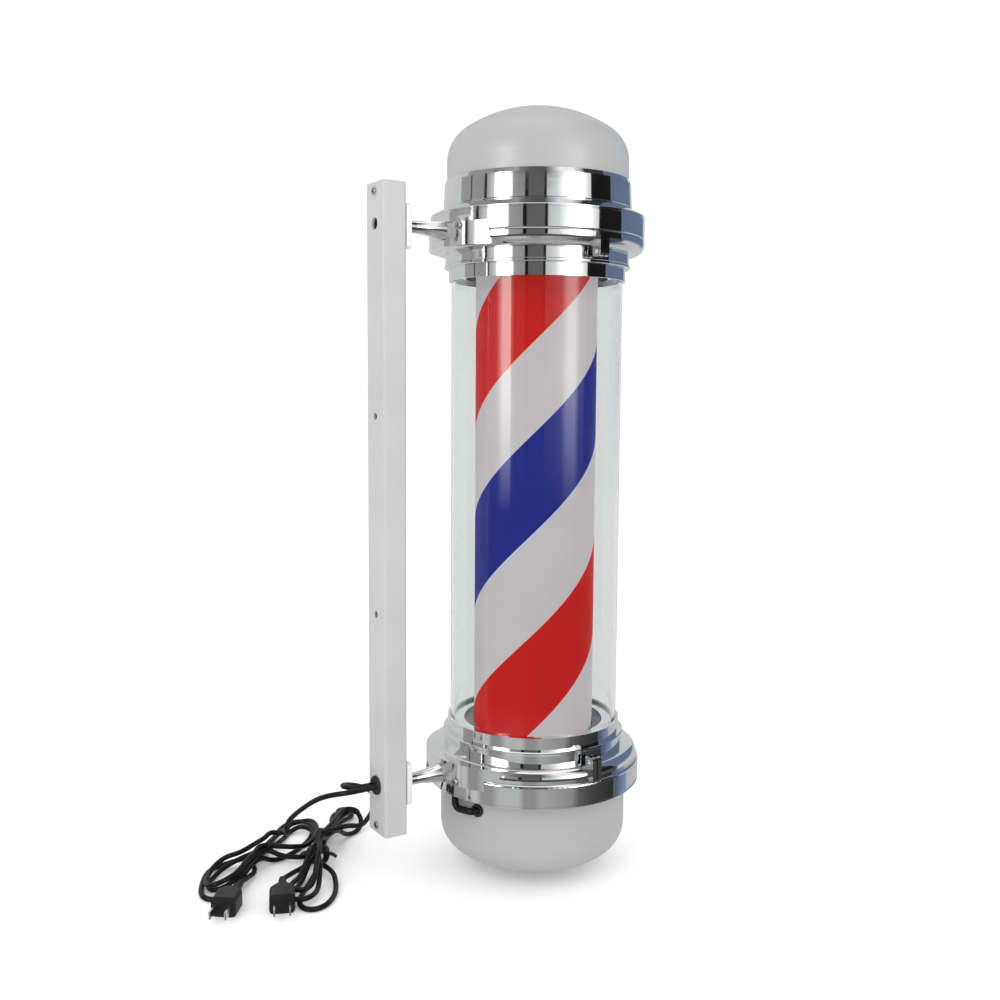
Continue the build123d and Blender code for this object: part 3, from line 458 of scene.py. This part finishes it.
def chrome():
    """Bright plate with the slight waves of a spun and polished collar."""
    look = Look("chrome", Metallic=1.0)
    look.tint(look.noise(25, 2), (0.80, 0.81, 0.82), (0.88, 0.885, 0.89))
    look.rough(look.noise(120, 6), 0.03, 0.07)
    look.bump(look.noise(30, 2, stretch=(1, 1, 3)), 0.0002, 0.12)
    return look.material


def silver_paint():
    """Satin silver paint of the spun domes, with fine flakes."""
    look = Look("silver_paint", Metallic=0.1, Specular_IOR_Level=0.25)
    look.tint(look.noise(3500, 2), grey(0.41), grey(0.48))
    look.rough(look.noise(40, 4), 0.34, 0.42)
    look.bump(look.noise(2500, 2), 0.00002, 0.4)
    return look.material


def zinc():
    look = Look("zinc", Metallic=1.0)
    look.tint(look.noise(300, 4), grey(0.5), grey(0.66))
    look.rough(look.noise(400, 4), 0.22, 0.4)
    look.bump(look.noise(900, 3), 0.00004, 0.5)
    return look.material


def motor_steel():
    look = Look("motor_steel", Metallic=1.0)
    look.tint(look.noise(60, 5), grey(0.45), grey(0.6))
    look.rough(look.noise(90, 5), 0.3, 0.5)
    look.bump(look.noise(1200, 2), 0.00003, 0.5)
    return look.material


def shaft_steel():
    look = Look("shaft_steel", Metallic=1.0)
    look.tint(look.noise(500, 2, stretch=(1, 1, 0.02)), grey(0.48), grey(0.58))
    look.rough(look.noise(300, 3), 0.18, 0.3)
    return look.material


def nickel():
    look = Look("nickel", Metallic=1.0)
    look.tint(look.noise(200, 3), grey(0.68, 0.02), grey(0.8, 0.02))
    look.rough(look.noise(400, 4, stretch=(4, 1, 1)), 0.12, 0.25)
    return look.material


def brass():
    look = Look("brass", Metallic=1.0)
    look.tint(look.noise(250, 4), (0.58, 0.42, 0.16), (0.76, 0.58, 0.27))
    look.rough(look.noise(350, 4), 0.2, 0.36)
    look.bump(look.noise(900, 2), 0.00003, 0.4)
    return look.material


def black_plastic():
    """Moulded black plastic with a light spark texture."""
    look = Look("black_plastic", Metallic=0.0, Specular_IOR_Level=0.35)
    look.tint(look.noise(60, 3), grey(0.008), grey(0.016))
    look.rough(look.noise(500, 3), 0.36, 0.52)
    look.bump(look.noise(2200, 2), 0.00008, 0.5)
    return look.material


def black_rubber():
    look = Look("black_rubber", Metallic=0.0)
    look.tint(look.noise(90, 3), grey(0.01), grey(0.02))
    look.rough(look.noise(300, 3), 0.5, 0.68)
    look.bump(look.noise(1500, 3), 0.00006, 0.5)
    return look.material


def lead_pvc():
    """Round black PVC sheath, a little shiny, in a slightly uneven black."""
    look = Look("lead_pvc", Metallic=0.0, Specular_IOR_Level=0.28)
    look.tint(look.noise(140, 5), grey(0.003), grey(0.009))
    look.rough(look.noise(260, 4), 0.32, 0.48)
    look.bump(look.noise(1800, 3), 0.00006, 0.5)
    return look.material


def clear_acrylic():
    """Clear cast tube. Light passes straight through it to the drum."""
    look = Look("clear_acrylic", Transmission_Weight=1.0, IOR=1.49)
    look.tint(look.noise(9, 2), (0.79, 0.795, 0.797), (0.82, 0.824, 0.824))
    look.rough(look.noise(70, 5), 0.004, 0.02)
    shadow = look.node("ShaderNodeLightPath").outputs["Is Shadow Ray"]
    clear = look.node("ShaderNodeBsdfTransparent")
    clear.inputs[0].default_value = (0.96, 0.965, 0.965, 1)
    mix = look.node("ShaderNodeMixShader")
    output = look.tree.nodes["Material Output"]
    look.join(shadow, mix.inputs[0])
    look.join(look.shader.outputs[0], mix.inputs[1])
    look.join(clear.outputs[0], mix.inputs[2])
    look.join(mix.outputs[0], output.inputs["Surface"])
    return look.material


# Shares of one turn of the print, from the foot of the red band: red, white, blue, then white again.
STRIPE_SHIFT = 0.030
RED_END, BLUE_START, BLUE_END = 0.251, 0.512, 0.767
EDGE_SHARE = 0.005
RED, WHITE, BLUE = (0.78, 0.005, 0.003), (0.80, 0.765, 0.775), (0.012, 0.022, 0.31)
RED_EDGE, BLUE_EDGE = (0.95, 0.72, 0.66), (0.78, 0.78, 0.95)
# Whole turns added to the phase, so that it is never below zero.
PHASE_TURNS = 4.0
# How strongly the print glows in its own colours: painted light that brightens the drum in place of the
# studio light that reaches it through the tube.
PAINTED_GLOW = 0.46


def stripe_film():
    """Printed film: red and blue bands that climb to the right, on white, with thin pale edges, and a
    painted glow in the same colours.
    """
    look = Look("stripe_film", Metallic=0.0, Specular_IOR_Level=0.12, Emission_Strength=PAINTED_GLOW)
    apart = look.node("ShaderNodeSeparateXYZ")
    look.join(look.place, apart.inputs[0])
    across = look.math("SUBTRACT", apart.outputs[0], POLE.x)
    deep = look.math("SUBTRACT", apart.outputs[1], POLE.y)
    turn = look.math("DIVIDE", look.math("ARCTAN2", deep, across), 2 * pi)
    climb = look.math("DIVIDE", apart.outputs[2], 2 * pi * DRUM_R)
    phase = look.math("SUBTRACT", look.math("SUBTRACT", climb, turn), STRIPE_SHIFT)
    phase = look.math("FRACT", look.math("ADD", phase, PHASE_TURNS))
    ramp = look.node("ShaderNodeValToRGB")
    ramp.color_ramp.interpolation = "CONSTANT"
    bands = [(0.0, RED), (RED_END, RED_EDGE), (RED_END + EDGE_SHARE, WHITE),
             (BLUE_START - EDGE_SHARE, BLUE_EDGE), (BLUE_START, BLUE), (BLUE_END, BLUE_EDGE),
             (BLUE_END + EDGE_SHARE, WHITE), (1.0 - EDGE_SHARE, RED_EDGE)]
    stops = ramp.color_ramp.elements
    while len(stops) < len(bands):
        stops.new(0.5)
    for stop, (start, colour) in zip(stops, bands):
        stop.position = start
        stop.color = (*colour, 1)
    look.join(phase, ramp.inputs[0])
    mottle = look.node("ShaderNodeMix", data_type="RGBA", blend_type="MULTIPLY")
    mottle.inputs[0].default_value = 1.0
    look.join(ramp.outputs[0], mottle.inputs[MIX_A])
    clouds = look.colours(look.spread(look.noise(18, 4), 0, 1), grey(0.95), grey(1.0))
    look.join(clouds, mottle.inputs[MIX_B])
    look.join(mottle.outputs[MIX_COLOUR], look.shader.inputs["Base Color"])
    # The print's own colours also glow: painted light on the drum.
    look.join(mottle.outputs[MIX_COLOUR], look.shader.inputs["Emission Color"])
    look.rough(look.noise(50, 4), 0.42, 0.55)
    look.bump(look.noise(700, 2), 0.00002, 0.3)
    return look.material


def pale_plastic(name, dark, light, low, high):
    """Moulded plastic between two colours and two roughnesses."""
    look = Look(name, Metallic=0.0)
    look.tint(look.noise(40, 3), dark, light)
    look.rough(look.noise(120, 4), low, high)
    look.bump(look.noise(1300, 2), 0.00004, 0.4)
    return look.material


def lamp_opal():
    """Opal envelope of the lamp, lit."""
    look = Look("lamp_opal", Metallic=0.0, Emission_Strength=0.6)
    look.shader.inputs["Emission Color"].default_value = (1.0, 0.97, 0.92, 1)
    look.tint(look.noise(30, 2), grey(0.85), grey(0.92))
    look.rough(look.noise(60, 3), 0.3, 0.4)
    return look.material


LOOKS = {
    "bar_paint": bar_paint(), "white_enamel": white_enamel(), "chrome": chrome(),
    "silver_paint": silver_paint(), "zinc": zinc(), "black_plastic": black_plastic(),
    "black_rubber": black_rubber(), "clear_acrylic": clear_acrylic(), "stripe_film": stripe_film(),
    "white_acrylic": pale_plastic("white_acrylic", grey(0.72), grey(0.8), 0.3, 0.45),
    "white_plastic": pale_plastic("white_plastic", grey(0.6, 0.02), grey(0.72, 0.02), 0.35, 0.5),
    "motor_steel": motor_steel(), "shaft_steel": shaft_steel(), "nickel": nickel(), "brass": brass(),
    "acetal": pale_plastic("acetal", grey(0.55, 0.05), grey(0.66, 0.05), 0.3, 0.42),
    "lamp_opal": lamp_opal(),
    "board_white": pale_plastic("board_white", grey(0.6), grey(0.75), 0.4, 0.55),
    "lead_pvc": lead_pvc(),
}


def dress(made, look):
    made.data.materials.clear()
    made.data.materials.append(LOOKS[look])


for part in frame["record"]["subparts"]:
    dress(NODES[part["node"]], part["material_slot"])
for cord in (lamp_cord, motor_cord):
    dress(cord, "lead_pvc")
for strap in motor_straps:
    dress(strap, "black_plastic")


# ---------------------------------------------------------------- studio
FLOOR_SIZE = 40
FLOOR_PALE = 0.93
FLOOR_GLOW = 0.15
WORLD_STRENGTH = 1.1
SOFTBOX_SIZE = (1.6, 1.6)


def make_floor():
    """Pale floor with a faint glow, which no gloss and no clear tube shows."""
    bpy.ops.mesh.primitive_grid_add(
        x_subdivisions=2, y_subdivisions=2, size=FLOOR_SIZE, location=(0, 0, FLOOR))
    floor = bpy.context.object
    floor.name = "studio_floor"
    look = Look("studio_floor", Roughness=0.7, Specular_IOR_Level=0.1)
    look.shader.inputs["Base Color"].default_value = (*grey(FLOOR_PALE), 1)
    look.shader.inputs["Emission Color"].default_value = (1, 1, 1, 1)
    look.shader.inputs["Emission Strength"].default_value = FLOOR_GLOW
    floor.data.materials.append(look.material)
    floor.visible_glossy = False
    floor.visible_transmission = False


def make_world():
    """Even white light from all round."""
    world = bpy.data.worlds.new("studio")
    bpy.context.scene.world = world
    world.use_nodes = True
    background = world.node_tree.nodes["Background"]
    background.inputs[0].default_value = (1.0, 1.0, 1.0, 1)
    background.inputs[1].default_value = WORLD_STRENGTH


def area_lamp(name, place, power):
    """Soft lamp that faces the middle of the pole and doesn't show in gloss."""
    data = bpy.data.lights.new(name, "AREA")
    data.shape = "RECTANGLE"
    data.size, data.size_y = SOFTBOX_SIZE
    data.energy = power
    lamp = bpy.data.objects.new(name, data)
    bpy.context.scene.collection.objects.link(lamp)
    lamp.location = place
    lamp.rotation_mode = "QUATERNION"
    lamp.rotation_quaternion = (POLE - Vector(place)).to_track_quat("-Z", "Y")
    lamp.visible_glossy = False


# Two shells of soft panels stand round the pole. The chrome and the other gloss show only the first one, and
# the clear tube shows only the second one behind itself. A profile lists (bearing, brightness, blue) round a
# shell at one height. Bearings are degrees from the camera, seen from the pole and anticlockwise from above,
# so that positive ones show on the right of the pole. Brightness runs evenly between them, and 1 for blue
# tints the light from there to the next.
PANEL_R = 2.6
PANEL_STEP = 0.5
BLUE_TINT = (0.48, 0.65, 1.0)
PANELS_TOP = (
    (-180, 0.62, 0), (-106, 0.62, 0), (-104, 0.34, 0), (-66, 0.30, 0), (-62.5, 0.25, 0), (-30, 0.4, 0),
    (-25, 0.2, 0), (-10, 0.12, 0), (11, 0.1, 0), (22, 0.5, 0), (33, 1.0, 0), (52, 1.0, 0), (58, 0.6, 0),
    (66, 0.3, 0), (66.5, 0.04, 0), (97.5, 0.04, 0), (98, 0.27, 1), (150, 0.30, 1), (152, 0.62, 0),
    (180, 0.62, 0),
)
PANELS_HIGH = (
    (-180, 0.62, 0), (-106, 0.62, 0), (-104, 0.34, 0), (-87.5, 0.33, 0), (-87, 0.05, 0), (-85.5, 0.05, 0),
    (-85, 0.33, 0), (-66.5, 0.30, 0), (-66, 0.03, 0), (-63, 0.03, 0), (-62.5, 0.35, 0), (-53, 0.7, 0),
    (-48, 4.0, 0), (-44, 9.0, 0), (-33.5, 9.0, 0), (-32.5, 1.5, 0), (-30, 1.3, 0), (-29, 0.36, 0),
    (-15, 0.30, 0), (-14.5, 0.01, 0), (-11, 0.01, 0), (-10.5, 0.13, 0), (7.5, 0.13, 0), (8, 0.01, 0),
    (10.5, 0.01, 0), (11, 0.6, 0), (22, 0.75, 0), (33, 1.4, 0), (42, 6.0, 0), (52, 6.0, 0), (58, 1.1, 0),
    (66, 0.7, 0), (66.5, 0.01, 0), (97.5, 0.012, 0), (98, 0.27, 1), (150, 0.30, 1), (152, 0.62, 0),
    (180, 0.62, 0),
)
PANELS_MIDDLE = (
    (-180, 0.6, 0), (-106, 0.6, 0), (-100, 0.08, 0), (100, 0.08, 0), (106, 0.6, 0), (180, 0.6, 0),
)
PANELS_LOW = (
    (-180, 0.6, 0), (-106, 0.6, 0), (-104, 0.3, 0), (-72, 0.25, 0), (-64, 0.57, 0), (-60, 0.55, 0),
    (-55, 0.3, 0), (-44, 0.3, 0), (-33, 0.52, 0), (-14, 0.52, 0), (-8, 0.3, 0), (2, 0.3, 0), (10, 0.42, 0),
    (22, 0.36, 0), (42, 0.28, 0), (50, 0.12, 0), (66, 0.06, 0), (95, 0.03, 0), (98, 0.16, 1), (120, 0.5, 0),
    (180, 0.6, 0),
)
BACKDROP = (
    (-180, 1.2, 0), (-160, 1.2, 0), (-120, 0.6, 0), (-90, 0.3, 0), (90, 0.3, 0), (120, 0.6, 0),
    (160, 1.2, 0), (180, 1.2, 0),
)
# The profiles of each shell from its top to its foot, as (height, profile).
SHELL_TOP, SHELL_FOOT = 5.0, -2.6
PANEL_ROWS = (
    (SHELL_TOP, PANELS_TOP), (0.95, PANELS_TOP), (0.9, PANELS_HIGH), (0.12, PANELS_HIGH),
    (-0.3, PANELS_MIDDLE), (-0.92, PANELS_MIDDLE), (-1.0, PANELS_LOW), (SHELL_FOOT, PANELS_LOW),
)
BACKDROP_ROWS = ((SHELL_TOP, BACKDROP), (SHELL_FOOT, BACKDROP))


def brightness(profile, bearing):
    """Colour of a profile at a bearing, which the profile has to cover."""
    for (start, one, blue), (end, two, _) in zip(profile, profile[1:]):
        if start <= bearing <= end:
            level = one + (two - one) * (bearing - start) / (end - start)
            return [level * tint if blue else level for tint in BLUE_TINT]


def make_panels(name, profiles):
    """A shell of panels round the pole, closed at its foot."""
    to_camera = Vector(CAMERA_AT) - POLE
    straight = atan2(to_camera.y, to_camera.x)
    count = int(360 / PANEL_STEP)
    shape = bmesh.new()
    layer = shape.verts.layers.float_color.new("panel")
    rows = []
    for height, profile in profiles:
        row = []
        for step in range(count):
            bearing = -180 + 360 * step / count
            turn = straight + radians(bearing)
            vert = shape.verts.new((POLE.x + PANEL_R * cos(turn), POLE.y + PANEL_R * sin(turn), height))
            vert[layer] = (*brightness(profile, bearing), 1)
            row.append(vert)
        rows.append(row)
    for one, two in zip(rows, rows[1:]):
        for k in range(count):
            shape.faces.new((one[k - 1], one[k], two[k], two[k - 1]))
    shape.faces.new(rows[-1])
    mesh = bpy.data.meshes.new(name)
    shape.to_mesh(mesh)
    shape.free()
    look = Look(name, Roughness=1.0, Specular_IOR_Level=0.0, Emission_Strength=1.0)
    look.shader.inputs["Base Color"].default_value = (0, 0, 0, 1)
    colour = look.node("ShaderNodeAttribute", attribute_name="panel")
    look.join(colour.outputs["Color"], look.shader.inputs["Emission Color"])
    panels = bpy.data.objects.new(name, mesh)
    bpy.context.scene.collection.objects.link(panels)
    mesh.materials.append(look.material)
    panels.visible_camera = False
    panels.visible_diffuse = False
    panels.visible_shadow = False
    return panels


make_floor()
make_world()
make_panels("studio_panels", PANEL_ROWS).visible_transmission = False
make_panels("studio_backdrop", BACKDROP_ROWS).visible_glossy = False
area_lamp("key", place=(-0.7, 1.8, 1.3), power=10)
area_lamp("fill", place=(-1.4, -1.4, 1.0), power=4)

bpy.context.scene.view_settings.view_transform = "Standard"
